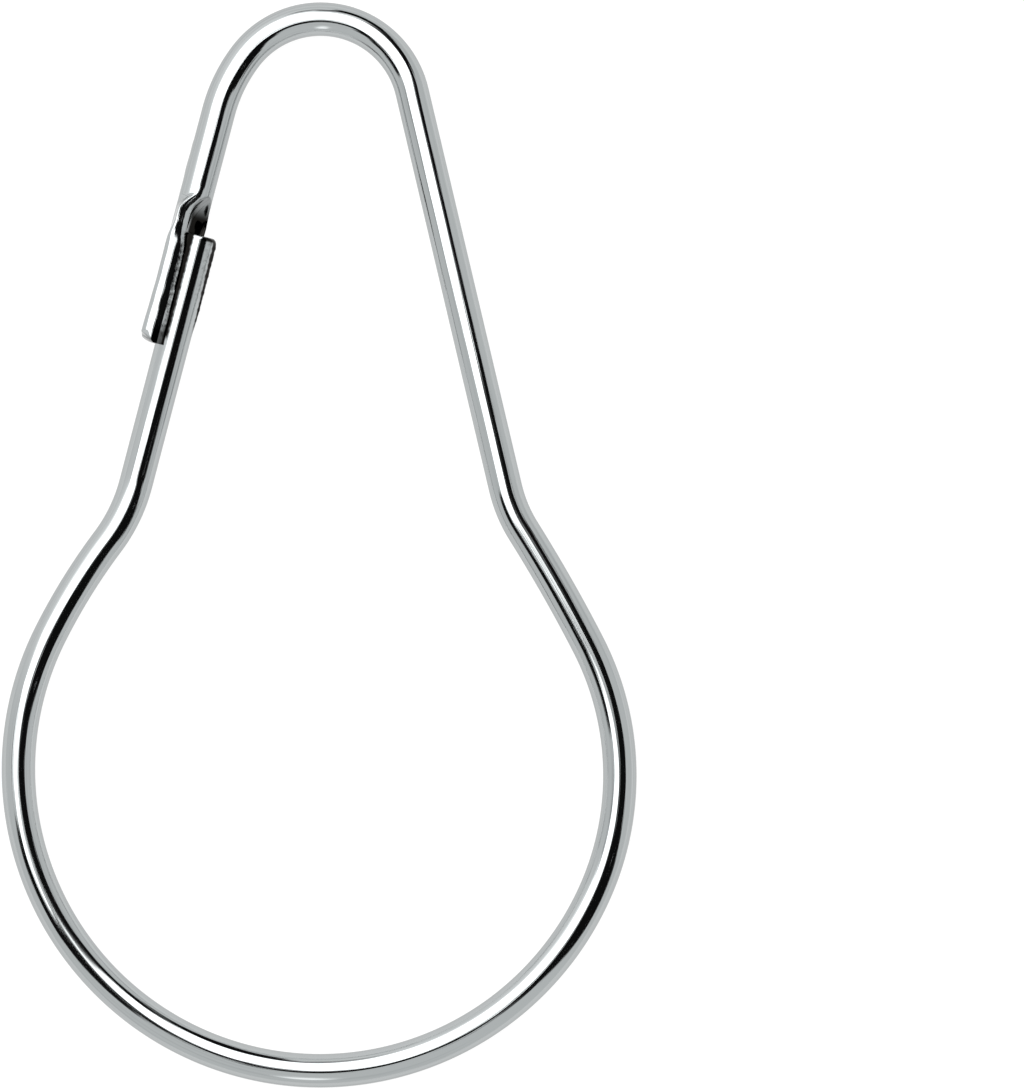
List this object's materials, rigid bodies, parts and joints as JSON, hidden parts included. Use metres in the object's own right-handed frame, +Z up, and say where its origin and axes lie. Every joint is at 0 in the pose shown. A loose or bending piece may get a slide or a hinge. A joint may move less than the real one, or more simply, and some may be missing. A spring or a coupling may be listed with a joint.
{
  "type": "shower curtain ring",
  "caption": "Pear-shaped shower curtain ring bent from bright plated wire, with a wide loop for the rod, a narrow crown for the curtain's eyelet and a coined snap clasp in one side.",
  "frame": {"origin": "centre of the wide loop, in the middle of the wire's thickness", "axes": "+X across the ring, away from the clasp's side; +Y along the ring, from the wide loop to the narrow crown; +Z up from the table that the ring lies flat on, square to the ring's plane"},
  "size_m": [0.0415, 0.0709, 0.003],
  "materials": {
    "plated_wire": "bright plated drawn steel wire, polished, with dull press marks at the clasp"
  },
  "bodies": {
    "root": {"curtain_ring": "plated_wire"}
  },
  "joints": []
}
